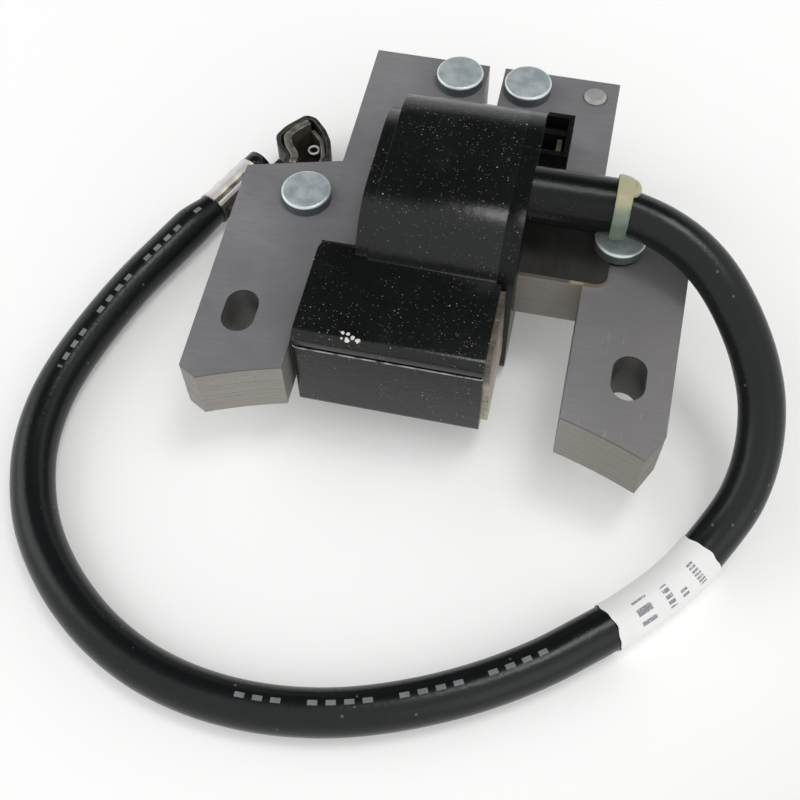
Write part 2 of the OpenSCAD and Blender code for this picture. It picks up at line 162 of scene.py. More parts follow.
class Finish:
    """A material whose nodes are added one call at a time."""

    def __init__(self, name, **constants):
        self.material = bpy.data.materials.new(name)
        self.material.use_nodes = True
        self.tree = self.material.node_tree
        self.shader = self.tree.nodes["Principled BSDF"]
        for socket, value in constants.items():
            self.shader.inputs[socket.replace("_", " ")].default_value = value
        self.place = self.node("ShaderNodeTexCoord", {}, {}).out("Object")

    def node(self, kind, settings, values):
        node = self.tree.nodes.new(kind)
        for name, value in settings.items():
            setattr(node, name, value)
        for key, value in values.items():
            if isinstance(value, Wire):
                self.tree.links.new(value.socket, node.inputs[key])
            else:
                node.inputs[key].default_value = value
        return Made(self, node)

    def noise(self, scale, detail=3, rough=0.6, at=None):
        """Soft noise from 0 to 1. scale counts its features per metre."""
        values = {"Vector": at or self.place, "Scale": scale, "Detail": detail}
        values["Roughness"] = rough
        return self.node("ShaderNodeTexNoise", {}, values).out("Fac")

    def stretched(self, sx, sy, sz):
        """The place, scaled on each axis, for grain that runs one way."""
        values = {"Vector": self.place, "Scale": (sx, sy, sz)}
        return self.node("ShaderNodeMapping", {}, values).out("Vector")

    def specks(self, scale, reach):
        """Small round spots, 1 inside and 0 outside. reach is a share of their spacing."""
        values = {"Vector": self.place, "Scale": scale}
        near = self.node("ShaderNodeTexVoronoi", {}, values)
        return 1 - near.out("Distance").step(reach * 0.6, reach)

    def chosen(self, scale, share):
        """1 on a random share of the same cells that specks() uses."""
        values = {"Vector": self.place, "Scale": scale}
        cell = self.node("ShaderNodeTexVoronoi", {}, values).out("Color")
        parts = self.node("ShaderNodeSeparateColor", {}, {"Color": cell})
        return parts.out("Red") < share

    def axis(self, letter, at=None):
        """One coordinate of the place."""
        parts = self.node("ShaderNodeSeparateXYZ", {}, {"Vector": at or self.place})
        return parts.out(letter)

    def tube(self, letter):
        """The place on a swept tube: X in metres along it, Y in turns round it."""
        spot = self.node("ShaderNodeUVMap", {"uv_map": TUBE_MAP}, {}).out("UV")
        return self.axis(letter, spot)

    def tilt(self):
        """1 where the surface looks straight up, 0 where it is upright."""
        return self.axis("Z", self.node("ShaderNodeNewGeometry", {}, {}).out("Normal"))

    def facing_up(self):
        """1 where the surface looks up, 0 on its sides."""
        return self.tilt().step(0.5, 0.8)

    def blend(self, mask, a, b):
        """Colour a where mask is 0 and colour b where it is 1."""
        node = self.tree.nodes.new("ShaderNodeMix")
        node.data_type = "RGBA"
        for index, value in ((0, mask), (6, a), (7, b)):
            if isinstance(value, Wire):
                self.tree.links.new(value.socket, node.inputs[index])
            else:
                node.inputs[index].default_value = value if index == 0 else (*value, 1)
        return Wire(self, node.outputs[2])

    def bump(self, height, depth):
        """Relief that follows height and is depth metres deep."""
        values = {"Height": height, "Distance": depth, "Strength": 1.0}
        self.wire("Normal", self.node("ShaderNodeBump", {}, values).out("Normal"))

    def wire(self, socket, value):
        """Drives one input of the shader."""
        self.tree.links.new(value.socket, self.shader.inputs[socket])


print("shader helpers ready")

# %% [markdown]
# ## Modelling helpers
# An operator acts on all that is selected, and the loaded nodes are selected, so each
# step starts by deselecting everything. Faces and edges are then picked by their place
# or normal, which is what a hand would do with the mouse.

# %% Small helpers for operators
def fresh():
    """Leaves edit mode and deselects everything."""
    if bpy.context.object and bpy.context.object.mode == "EDIT":
        bpy.ops.object.mode_set(mode="OBJECT")
    bpy.ops.object.select_all(action="DESELECT")


def hold(piece):
    """Makes piece the one selected and active object."""
    fresh()
    piece.select_set(True)
    bpy.context.view_layer.objects.active = piece
    return piece


def named(name):
    """Names the object that an operator just added, and returns it."""
    piece = bpy.context.object
    piece.name = name
    piece.data.name = name
    return piece


def edit_all(piece):
    """Enters edit mode with everything selected."""
    hold(piece)
    bpy.ops.object.mode_set(mode="EDIT")
    bpy.ops.mesh.select_all(action="SELECT")


def leave_edit():
    bpy.ops.object.mode_set(mode="OBJECT")


def start_picking(piece, kind):
    """Enters edit mode for FACE or EDGE, with nothing selected."""
    bpy.ops.object.mode_set(mode="EDIT")
    bpy.ops.mesh.select_mode(type=kind)
    mesh = bmesh.from_edit_mesh(piece.data)
    for item in (*mesh.verts, *mesh.edges, *mesh.faces):
        item.select = False
    return mesh


def pick_faces(piece, wanted):
    """Selects only the faces whose centre and normal satisfy wanted, in edit mode."""
    mesh = start_picking(piece, "FACE")
    for face in mesh.faces:
        if wanted(face.calc_center_median(), face.normal):
            face.select_set(True)
    bmesh.update_edit_mesh(piece.data)


def pick_edges(piece, wanted):
    """Selects only the edges whose two ends satisfy wanted, in edit mode."""
    mesh = start_picking(piece, "EDGE")
    for edge in mesh.edges:
        if wanted(edge.verts[0].co, edge.verts[1].co):
            edge.select_set(True)
    bmesh.update_edit_mesh(piece.data)


def settle(piece):
    """Applies the piece's place, so that its object sits at the origin."""
    hold(piece)
    bpy.ops.object.transform_apply(location=True, rotation=True, scale=True)
    return piece


def apply_all(piece):
    """Applies the piece's modifiers, first to last."""
    hold(piece)
    for modifier in list(piece.modifiers):
        bpy.ops.object.modifier_apply(modifier=modifier.name)
    return piece


def outward(piece):
    """Merges doubles and turns every face outwards."""
    edit_all(piece)
    bpy.ops.mesh.remove_doubles(threshold=0.5e-6)
    bpy.ops.mesh.normals_make_consistent(inside=False)
    leave_edit()
    return piece


def smooth(piece, degrees=35):
    hold(piece)
    bpy.ops.object.shade_smooth_by_angle(angle=math.radians(degrees))
    return piece


def copy_of(piece, name):
    """A copy with its own mesh."""
    made = piece.copy()
    made.data = piece.data.copy()
    made.name = name
    made.data.name = name
    bpy.context.scene.collection.objects.link(made)
    return made


def joined(pieces, name):
    """One object made of several."""
    fresh()
    for piece in pieces:
        piece.select_set(True)
    bpy.context.view_layer.objects.active = pieces[0]
    bpy.ops.object.join()
    return named(name)


def wear(piece, finish):
    """Gives the piece one finish all over."""
    piece.data.materials.clear()
    piece.data.materials.append(finish)
    return piece


def hand_over(piece, slot, *nodes):
    """The piece rides on the coil and stands for its CAD nodes. Its slot is not used."""
    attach(piece, "root")
    if nodes:
        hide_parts(*nodes)
    print(piece.name, len(piece.data.vertices), "vertices")
    return piece


def merged_copy(node, name):
    """A copy of a CAD node whose loose triangles are merged into flat faces."""
    made = copy_of(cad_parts[node], name)
    for key in [k for k in made.keys() if k.startswith("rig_")]:
        del made[key]
    made.parent = None
    edit_all(made)
    bpy.ops.mesh.remove_doubles(threshold=1e-6)
    bpy.ops.mesh.dissolve_limited(angle_limit=math.radians(0.5))
    leave_edit()
    return made


def soften(piece, width, angle=30):
    """Rounds every edge that is sharper than angle."""
    rounding = piece.modifiers.new("rounding", "BEVEL")
    rounding.width = width
    rounding.segments = 3
    rounding.limit_method = "ANGLE"
    rounding.angle_limit = math.radians(angle)
    apply_all(piece)
    return smooth(piece, 40)


print("modelling helpers ready")

# %% [markdown]
# ## The lead
# A high-tension lead is a stiff, fat cable. It leaves the tower straight, drops to the
# table and lies there in one open loop. The points are the CAD route's own, in
# millimetres, and a Catmull-Rom curve runs through them as the CAD tube does.

# %% The lead's route
LEAD_RADIUS = 3.5 * MM
TOWER_Y = 25.2
TOWER_Z = 18.6
TABLE_Z = -6.5
LIFT_Z = -6.2
END_Z = -5.95
LEAD_KNOTS = [
    (13, TOWER_Y, TOWER_Z), (18, TOWER_Y, TOWER_Z), (22.5, TOWER_Y - 0.1, TOWER_Z),
    (27, 24.3, 18.4), (31.7, 22.8, 18), (36.3, 20.6, 17), (40.6, 17.4, 15.3),
    (44.6, 13.1, 12.7), (48.1, 8.1, 9.4), (50.4, 2.4, 6), (51, -4, 2.6),
    (49.9, -10.2, -0.6), (47, -16, -3.4), (42.5, -23, -5.4), (36.5, -29.6, LIFT_Z),
    (30, -35.4, LIFT_Z), (24, -40.2, -6.4), (16.5, -45, TABLE_Z), (8.5, -49, TABLE_Z),
    (0.5, -52, TABLE_Z), (-7, -53.8, TABLE_Z), (-15, -54.6, TABLE_Z),
    (-23, -54.2, TABLE_Z), (-30.5, -52.6, TABLE_Z), (-37, -50, TABLE_Z),
    (-43, -46.4, TABLE_Z), (-49, -41.4, TABLE_Z), (-54.4, -35, TABLE_Z),
    (-58.2, -27.8, TABLE_Z), (-60.5, -20, TABLE_Z), (-61, -11, TABLE_Z),
    (-59.4, -1, TABLE_Z), (-55.8, 11.4, TABLE_Z), (-51.2, 22.2, LIFT_Z),
    (-47.1, 31.3, END_Z), (-44.05, 38.15, END_Z), (-41, 45, END_Z),
]
ROUTE = [Vector(knot) * MM for knot in LEAD_KNOTS]
LAST = len(ROUTE) - 1


def knot(i):
    """Knot i, with a straight run-out past both ends."""
    if i < 0:
        return 2 * ROUTE[0] - ROUTE[1]
    if i > LAST:
        return 2 * ROUTE[LAST] - ROUTE[LAST - 1]
    return ROUTE[i]


def on_route(u):
    """The lead's centre at u, which counts knots from the tower."""
    i = max(0, min(int(u), LAST - 1))
    t = u - i
    a, b, c, d = knot(i - 1), knot(i), knot(i + 1), knot(i + 2)
    curve = b + t * (c - a) / 2 + t * t * (a - 2.5 * b + 2 * c - 0.5 * d)
    return curve + t * t * t * (1.5 * b - 0.5 * a - 1.5 * c + 0.5 * d)


def heading(u):
    """The way that the lead runs at u."""
    return (on_route(min(u + 0.01, LAST)) - on_route(max(u - 0.01, 0))).normalized()


STEPS_PER_KNOT = 6
path = [on_route(i / STEPS_PER_KNOT) for i in range(LAST * STEPS_PER_KNOT + 1)]
lead_length = sum((b - a).length for a, b in zip(path, path[1:]))
print("lead length from socket to cut end:", round(lead_length, 4))

# %% [markdown]
# ## Sweeping a tube
# The insulation, strands, label and crimp all follow the lead, so one function makes
# them: a ring is set across the route at each place and joined to the last.

# %% Sweep a tube along part of the route
def swept(name, places, radius, sides, profile=None, closed_ends=True):
    """A tube through the places, with a UV map: U is metres along it, V turns round it.
    profile gives a radius for each place."""
    mesh = bmesh.new()
    uv_layer = mesh.loops.layers.uv.new(TUBE_MAP)
    rings = []
    run = [0.0]
    for a, b in zip(places, places[1:]):
        run.append(run[-1] + (on_route(b) - on_route(a)).length)
    for index, u in enumerate(places):
        forward = heading(u)
        side = Vector((0, 0, 1)).cross(forward).normalized()
        up = forward.cross(side)
        r = profile[index] if profile else radius
        ring = []
        for k in range(sides):
            turn = math.tau * k / sides
            spot = on_route(u) + r * (math.cos(turn) * side + math.sin(turn) * up)
            ring.append(mesh.verts.new(spot))
        rings.append(ring)
    for i in range(len(rings) - 1):
        for k in range(sides):
            n = (k + 1) % sides
            near, far = rings[i], rings[i + 1]
            face = mesh.faces.new((near[k], near[n], far[n], far[k]))
            face.smooth = True
            spots = ((run[i], k), (run[i], k + 1), (run[i + 1], k + 1), (run[i + 1], k))
            for loop, (along, turn) in zip(face.loops, spots):
                loop[uv_layer].uv = (along, turn / sides)
    if closed_ends:
        mesh.faces.new(list(reversed(rings[0])))
        mesh.faces.new(rings[-1])
    data = bpy.data.meshes.new(name)
    mesh.to_mesh(data)
    mesh.free()
    piece = bpy.data.objects.new(name, data)
    bpy.context.scene.collection.objects.link(piece)
    return piece


def spaced(start, end, count):
    """count places from start to end, evenly apart."""
    return [start + (end - start) * i / (count - 1) for i in range(count)]


# %% [markdown]
# ## The insulation
# The insulation is extruded round the strands, so it is one even tube. Sweeping a ring
# along the route gives it a UV map at the same time: U runs along the cable in metres
# and V round it, which is what the faint printed dashes need. Close to the clip the crimp
# squeezes the tube thinner and draws it aside.

# %% The insulation
LEAD_SIDES = 32
CUT_SHORT = 0.16
SQUEEZED_FROM = 33.4
SQUEEZED_OVER = 0.8
SQUEEZED_RADIUS = 2.75 * MM
PULL = 0.55 * MM


def squeeze(u):
    """0 on the free lead and 1 under the crimp."""
    share = min(1, max(0, (u - SQUEEZED_FROM) / SQUEEZED_OVER))
    return share * share * (3 - 2 * share)


def lead_radius(u):
    """The insulation's radius at u."""
    return LEAD_RADIUS + (SQUEEZED_RADIUS - LEAD_RADIUS) * squeeze(u)


def pulled(u):
    """The crimp also pulls the lead's end a little towards the clip."""
    return heading(u).cross(Vector((0, 0, 1))) * PULL * squeeze(u)


LEAD_END = LAST - CUT_SHORT
LEAD_RINGS = LAST * STEPS_PER_KNOT + 1
lead_places = spaced(0, LEAD_END, LEAD_RINGS)
radii = [lead_radius(u) for u in lead_places]
lead = swept("lead", lead_places, LEAD_RADIUS, LEAD_SIDES, radii)
for vertex in lead.data.vertices:
    vertex.co += pulled(lead_places[vertex.index // LEAD_SIDES])
print("lead faces:", len(lead.data.polygons))

# %% The insulation's finish
DASH_PITCH = 0.0026
DASH_SHARE = 0.55
MARK_LENGTH = 0.013
MARK_SHARE = 0.8
MARK_GROUPS = ((0.104, 0.150), (0.222, 0.262))
PRINT_TURN = 0.27
PRINT_HALF_WIDTH = 0.018

rubber = Finish("lead rubber", IOR=1.5, Specular_IOR_Level=0.33)
run = rubber.tube("X")
dash = (run * (1 / DASH_PITCH)).fraction() < DASH_SHARE
group = (run * (1 / MARK_LENGTH)).fraction() < MARK_SHARE
strip = (rubber.tube("Y") - PRINT_TURN).size() < PRINT_HALF_WIDTH
printed = 0
for start, end in MARK_GROUPS:
    printed = (run > start) * (run < end) + printed
faint = rubber.noise(300, 3) * 0.5 + 0.12
ink = dash * group * strip * printed * faint
dust = rubber.specks(700, 0.2) * rubber.chosen(700, 0.1) * 0.3
base = rubber.blend(rubber.noise(60, 3), (0.003, 0.0045, 0.0045), (0.007, 0.009, 0.009))
base = rubber.blend(dust, base, (0.25, 0.24, 0.22))
rubber.wire("Base Color", rubber.blend(ink, base, (0.5, 0.52, 0.52)))
rubber.wire("Roughness", rubber.noise(140, 4) * 0.14 + 0.19)
rubber.bump(rubber.noise(1500, 3) * 0.6 + rubber.noise(90, 2), 0.00006)
wear(lead, rubber.material)
print("insulation finished")

# %% [markdown]
# ## The conductor
# Inside the insulation run copper strands. They only show as an orange spot at the cut
# end, so one fluted tube is enough: its outline has a bump for each strand.

# %% The strands
CONDUCTOR_R = 1.1 * MM
STRANDS = 7
STRAND_SIDES = 42
STRANDS_PROUD = 0.015
FLUTE_DEPTH = 0.16
strand_places = spaced(0, LEAD_END + STRANDS_PROUD, LEAD_RINGS)
strands = swept("lead_strands", strand_places, CONDUCTOR_R, STRAND_SIDES)
for vertex in strands.data.vertices:
    index, turn_index = divmod(vertex.index, STRAND_SIDES)
    place = strand_places[index]
    fluting = abs(math.sin(math.pi * turn_index * STRANDS / STRAND_SIDES)) - 1
    away = (vertex.co - on_route(place)).normalized()
    vertex.co += away * fluting * FLUTE_DEPTH * MM + pulled(place)
print("strand vertices:", len(strands.data.vertices))

# %% [markdown]
# ## The paper label
# A paper band is wrapped once round the lead. Paper is thin but not nothing: the band is
# its own tube, its ends are trimmed a little unevenly, its overlap stands up as a fine
# ridge, and the table presses it flat underneath. Plain bars take the place of any print.

# %% The label
LABEL_FROM = 12.4
LABEL_TO = 14.5
PAPER = 0.22 * MM
LABEL_SIDES = 64
LABEL_RINGS = 40
OVERLAP = range(12, 26)
OVERLAP_LIFT = 0.1 * MM
NEAR_TABLE = -9.6 * MM
PRESSED_IN = 0.12 * MM
RAGGED = 0.18 * MM
label_places = spaced(LABEL_FROM, LABEL_TO, LABEL_RINGS)
label = swept("label", label_places, LEAD_RADIUS + PAPER, LABEL_SIDES, closed_ends=False)
for vertex in label.data.vertices:
    place_index, ring_index = divmod(vertex.index, LABEL_SIDES)
    centre = on_route(label_places[place_index])
    away = (vertex.co - centre).normalized()
    lift = OVERLAP_LIFT if ring_index in OVERLAP else 0
    if centre.z - LEAD_RADIUS < NEAR_TABLE and away.z < -0.8:
        lift = -PRESSED_IN
    vertex.co += away * lift
    if place_index in (0, LABEL_RINGS - 1):
        ragged = math.sin(ring_index * 0.35) + 0.5 * math.sin(ring_index * 0.9)
        vertex.co += heading(LABEL_TO) * RAGGED * ragged
thickness = label.modifiers.new("paper", "SOLIDIFY")
thickness.thickness = 0.14 * MM
thickness.offset = -1
apply_all(label)
smooth(label, 30)
print("label faces:", len(label.data.polygons))

# %% The label's paper and bars
paper = Finish("label paper", IOR=1.45)
run = paper.tube("X")
turn = paper.tube("Y")


def bars(pitch, share, low, high, turn_low, turn_high):
    """Plain bars from low to high along the band. share of each pitch is inked."""
    row = (run > low) * (run < high)
    inked = (turn * (1 / pitch)).fraction() < share
    return inked * (turn > turn_low) * (turn < turn_high) * row


rows = bars(0.026, 0.62, 0.0030, 0.0042, 0.08, 0.25)
for row in (
    (0.034, 0.6, 0.0062, 0.0074, 0.09, 0.16),
    (0.040, 0.66, 0.0086, 0.0098, 0.09, 0.25),
    (0.085, 0.56, 0.0122, 0.0148, 0.10, 0.27),
):
    rows = rows + bars(*row)
faded = paper.noise(2500, 3).step(0.25, 0.5)
sheet = paper.blend(paper.noise(300, 4), (0.76, 0.75, 0.73), (0.84, 0.83, 0.81))
sheet = paper.blend(paper.noise(90, 3).step(0.6, 0.8) * 0.25, sheet, (0.66, 0.63, 0.58))
paper.wire("Base Color", paper.blend(rows * faded * 0.75, sheet, (0.07, 0.06, 0.12)))
paper.wire("Roughness", paper.noise(400, 3) * 0.2 + 0.4)
paper.bump(paper.noise(700, 4), 0.00004)
wear(label, paper.material)
hand_over(label, "label_white", "lead_label")

# %% [markdown]
# ## The armature
# Eddy currents are kept down by building the core from thin sheets. Each stack here is
# made the same way: one sheet is flattened out of the CAD block and copied upwards, with
# a hair of space between the sheets and a tiny sideways slip, so the edges show as lines.

# %% The finish of the sheets
SHEETS = 21
SHEET_T = 0.482 * MM
SLOT_X = 30 * MM
SLOT_SHADE_REACH = 5.5 * MM
STACK_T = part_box("left_lamination_stack")[1].z
PITCH = (STACK_T - SHEET_T) / (SHEETS - 1)

steel = Finish("electrical steel", IOR=1.5, Metallic=0.3)
up = steel.facing_up()
rolled = steel.noise(1, 4, 0.6, steel.stretched(260, 2600, 260))
cloud = steel.noise(45, 3, 0.5)
face = steel.blend(cloud.step(0.3, 0.7), (0.180, 0.174, 0.186), (0.262, 0.254, 0.264))
face = steel.blend(rolled.step(0.35, 0.7) * 0.3, face, (0.15, 0.145, 0.15))
face = steel.blend(steel.noise(160, 4).step(0.6, 0.75) * 0.35, face, (0.14, 0.135, 0.13))
scuff = steel.noise(1, 2, 0.5, steel.stretched(1800, 240, 260)).step(0.66, 0.72)
# Painted shade: faces and edges on the right leg are darker, where less light reaches them.
painted_right_leg_shade = steel.axis("X").step(0.015, 0.03)
face = steel.blend(painted_right_leg_shade * 0.6, face, (0.165, 0.158, 0.148))
scuff = scuff * steel.noise(35, 2).step(0.5, 0.6) * 0.4
face = steel.blend(scuff, face, (0.33, 0.32, 0.33))
shear = steel.noise(1, 3, 0.7, steel.stretched(1500, 1500, 3000))
layer = steel.noise(1, 1, 0.5, steel.stretched(3, 3, 0.9 / PITCH))
edge = shear * 0.75 + layer * 0.25
edge = steel.blend(edge, (0.20, 0.187, 0.168), (0.36, 0.335, 0.305))
edge = steel.blend(painted_right_leg_shade * 0.5, edge, (0.175, 0.163, 0.14))
# Painted shadow: a dark line just under the top edge of the stack's sides, where the burr
# shades them.
painted_burr_shadow = steel.axis("Z").step(STACK_T - 0.38 * MM, STACK_T - 0.28 * MM)
edge = steel.blend(painted_burr_shadow * 0.75, edge, (0.05, 0.048, 0.045))
flat = steel.stretched(1, 1, 0)
# Painted shade: the sheet edges near each slot are darkened, as the shade inside the slots.
for slot_x in (-SLOT_X, SLOT_X):
    settings = {"operation": "DISTANCE"}
    values = {0: flat, 1: (slot_x, 0, 0)}
    reach = steel.node("ShaderNodeVectorMath", settings, values).out("Value")
    edge = steel.blend((reach < SLOT_SHADE_REACH) * 0.7, edge, (0.04, 0.042, 0.04))
steel.wire("Base Color", steel.blend(up, edge, face))
steel.wire("Roughness", up * 0.04 + steel.noise(500, 3) * 0.16 + 0.38)
steel.bump(rolled * 0.5 + shear * (1 - up) * 0.6, 0.00002)
print(SHEETS, "sheets, one every", PITCH)

# %% Stack the sheets
slips = random.Random(7)
SLIP = 0.012


def sheet_stack(node, name):
    """Flattens a CAD block to one sheet, and stacks copies of it."""
    block = merged_copy(node, name)
    edit_all(block)
    bpy.ops.transform.resize(value=(1, 1, SHEET_T / STACK_T), center_override=(0, 0, 0))
    leave_edit()
    sheets = []
    for i in range(SHEETS):
        top_or_bottom = i in (0, SHEETS - 1)
        slip_x = 0 if top_or_bottom else slips.uniform(-SLIP, SLIP) * MM
        slip_y = 0 if top_or_bottom else slips.uniform(-SLIP, SLIP) * MM
        sheet = copy_of(block, f"{name}_{i}")
        sheet.data.transform(Matrix.Translation((slip_x, slip_y, i * PITCH)))
        sheets.append(sheet)
    bpy.data.objects.remove(block)
    stack = joined(sheets, name)
    wear(stack, steel.material)
    return hand_over(stack, "lamination_steel", node)


sheet_stack("left_lamination_stack", "left_sheets")
sheet_stack("right_lamination_stack", "right_sheets")

# %% [markdown]
# ## The rivets
# A rivet clamps the stack: a flat zinc-plated head on top, a shank through the sheets and
# a tail set below. One cylinder is enough to start from. Its underside is inset and pushed
# down for the shank, then widened for the tail, and the rim of the head is rounded.

# %% One rivet
HEAD_R = 4.1 * MM
SHANK_R = 2.1 * MM
TAIL_R = 3.3 * MM
UNDER_RIM = 0.35 * MM
HEAD_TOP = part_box("rivet_front_left")[1].z
HEAD_T = HEAD_TOP - STACK_T


def move_down(distance):
    """Extrudes the selected face downwards."""
    bpy.ops.mesh.extrude_region_move(TRANSFORM_OT_translate={"value": (0, 0, -distance)})


def widen(factor):
    """Widens the selected face about the rivet's axis."""
    bpy.ops.transform.resize(value=(factor, factor, 1), center_override=(0, 0, 0))


fresh()
bpy.ops.mesh.primitive_cylinder_add(vertices=72, radius=HEAD_R, depth=HEAD_T,
                                    location=(0, 0, STACK_T + HEAD_T / 2))
rivet = settle(named("rivet"))
pick_faces(rivet, lambda spot, normal: normal.z < -0.9)
bpy.ops.mesh.inset(thickness=UNDER_RIM)
move_down(0)
widen(SHANK_R / (HEAD_R - UNDER_RIM))
move_down(STACK_T)
move_down(0)
widen(TAIL_R / SHANK_R)
move_down(0.8 * MM)
move_down(0.6 * MM)
widen(0.72)
leave_edit()
pick_edges(rivet, lambda a, b: min(a.z, b.z) > HEAD_TOP - 0.01 * MM)
bpy.ops.mesh.bevel(offset=0.45 * MM, segments=4, affect="EDGES")
leave_edit()
pick_faces(rivet, lambda spot, normal: normal.z > 0.99 and spot.z > STACK_T)
bpy.ops.mesh.inset(thickness=0.5 * MM)
bpy.ops.mesh.inset(thickness=0.9 * MM)
bpy.ops.transform.translate(value=(0, 0, -0.05 * MM))
leave_edit()
outward(rivet)
smooth(rivet)
print("rivet faces:", len(rivet.data.polygons))

# %% Zinc plating
zinc = Finish("zinc plating", IOR=1.8, Metallic=0.55)
blotch = zinc.noise(420, 4, 0.6)
scratch = zinc.noise(1, 3, 0.7, zinc.stretched(900, 5200, 900))
plated = zinc.blend(blotch.step(0.3, 0.7), (0.42, 0.51, 0.545), (0.66, 0.70, 0.70))
plated = zinc.blend(zinc.noise(200, 3).step(0.55, 0.7) * 0.4, plated, (0.50, 0.49, 0.44))
tilt = zinc.tilt()
# Painted shade: the upright sides of each head are made nearly black.
painted_side_shade = 1 - tilt.step(0.1, 0.35)
plated = zinc.blend(painted_side_shade * 0.85, plated, (0.05, 0.055, 0.055))
# Painted highlight: a pale band on the rounded rim of each head.
rim = tilt.step(0.3, 0.5) * (1 - tilt.step(0.8, 0.97))
zinc.wire("Base Color", zinc.blend(rim * 0.7, plated, (0.84, 0.86, 0.82)))
zinc.wire("Roughness", blotch * 0.2 + scratch * 0.12 + 0.24)
zinc.bump(blotch + scratch * 0.5, 0.00005)
wear(rivet, zinc.material)
print("zinc plating ready")

# %% Set the four rivets
RIVETS = ("rivet_rear_left", "rivet_rear_right", "rivet_front_left", "rivet_front_right")
for node in RIVETS:
    low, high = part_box(node)
    setting = copy_of(rivet, node + "_zinc")
    middle = (low + high) / 2
    rise = high.z - HEAD_TOP
    spin = Matrix.Rotation(middle.x * 90, 4, "Z")
    setting.data.transform(Matrix.Translation((middle.x, middle.y, 0)) @ spin)
    for vertex in setting.data.vertices:
        if vertex.co.z > STACK_T / 2:
            vertex.co.z += rise
    hand_over(setting, "zinc_rivet", node)
bpy.data.objects.remove(rivet)

# %% [markdown]
# ## The black mouldings
# The housing and its end cap are glass-filled nylon. A moulding never has knife edges, so
# the CAD shapes are copied, their triangles merged back into faces, and every edge is
# rounded by a bevel. The dust in their pores is part of the finish, not of the shape, and
# so are two pale lines where the box's front edges catch the light.

# %% Black moulding finish
def black_moulding(name, dusty, shine, lit_edges=()):
    """Black nylon. lit_edges are painted highlight lines: low Z, high Z and depth in Y."""
    black = Finish(name, IOR=1.5, Specular_IOR_Level=shine)
    cloud = black.noise(55, 4, 0.6)
    base = black.blend(cloud, (0.0025, 0.003, 0.003), (0.007, 0.009, 0.0075))
    patchy = black.noise(70, 3).step(0.3, 0.55)
    for scale, reach, share, tint in (
        (2600, 0.28, 0.26, (0.11, 0.10, 0.085)),
        (1700, 0.19, 0.15, (0.28, 0.265, 0.23)),
        (1000, 0.13, 0.06, (0.50, 0.475, 0.43)),
    ):
        spots = black.specks(scale, reach) * black.chosen(scale, share)
        base = black.blend(spots * patchy * dusty, base, tint)
    place_y = black.axis("Y")
    place_z = black.axis("Z")
    for low_z, high_z, depth in lit_edges:
        # Painted highlight: pale lines along the box's front edges, where they catch the
        # light.
        line = (place_z > low_z) * (place_z < high_z) * (place_y < depth)
        painted_highlight = line * black.noise(500, 3).step(0.3, 0.6) * 0.6
        base = black.blend(painted_highlight, base, (0.62, 0.61, 0.57))
    haze = black.noise(120, 4).step(0.55, 0.85) * 0.08 * dusty
    black.wire("Base Color", black.blend(haze, base, (0.10, 0.10, 0.085)))
    black.wire("Roughness", black.noise(240, 4) * 0.14 + cloud * 0.08 + 0.13)
    black.bump(black.noise(900, 4, 0.7) * 0.5 + black.noise(110, 3), 0.00008)
    return black.material


box_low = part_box("coil_housing")[0]
BOX_TOP = 15.5 * MM
LIT_EDGES = (
    (BOX_TOP - 0.3 * MM, BOX_TOP, box_low.y + 0.32 * MM),
    (BOX_TOP - 3.4 * MM, BOX_TOP - 3.1 * MM, box_low.y + 0.4 * MM),
)
housing_black = black_moulding("housing black", 1.0, 0.38, LIT_EDGES)
cap_black = black_moulding("end cap black", 0.45, 0.2)
print("black finishes ready")

# %% [markdown]
# ## The housing
# The housing is one moulding, a round coil body and a square module box. The box's two
# upright left corners have a larger radius than the rest, so they are bevelled first.

# %% Housing
ROUND = 0.28 * MM
CORNER = 1.5 * MM
SAME = 1e-5
housing = merged_copy("coil_housing", "housing")


def on_left_corner(a, b):
    """The module box's upright left corners."""
    upright = abs(a.x - b.x) < SAME and abs(a.y - b.y) < SAME and abs(a.z - b.z) > 5 * MM
    return upright and abs(a.x - box_low.x) < SAME


pick_edges(housing, on_left_corner)
bpy.ops.mesh.bevel(offset=CORNER, segments=5, affect="EDGES")
leave_edit()
print("module box corner at", box_low.x, box_low.y)
soften(housing, ROUND)
wear(housing, housing_black)
hand_over(housing, "housing_black", "coil_housing")

# %% [markdown]
# ## The end cap
# The cap closes the coil body and carries the lead's tower and the stop terminal's
# shroud. It is made as the housing is, with a finer edge and less dust.

# %% End cap with its tower
CAP_ROUND = 0.22 * MM
cap = merged_copy("housing_end_cap", "end_cap")
soften(cap, CAP_ROUND)
wear(cap, cap_black)
hand_over(cap, "housing_black", "housing_end_cap")

# %% [markdown]
# ## Potting compound
# Resin fills the module box and stands a little proud of its open side. The CAD block is
# rounded and its bulge thins towards the top, because resin sags before it sets. Bump in
# the finish makes the face uneven.

# %% Potting
OPEN_SIDE = 9 * MM
TOP_BULGE = 0.35
POTTING_ROUND = 0.45 * MM
potting = merged_copy("potting_compound", "potting")
soften(potting, POTTING_ROUND, 40)
pot_low, pot_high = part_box("potting_compound")
for vertex in potting.data.vertices:
    spot = vertex.co
    if spot.x > OPEN_SIDE + 0.1 * MM:
        share = (spot.z - pot_low.z) / (pot_high.z - pot_low.z)
        bulge = 1 - (1 - TOP_BULGE) * share * share
        spot.x = OPEN_SIDE + (spot.x - OPEN_SIDE) * bulge

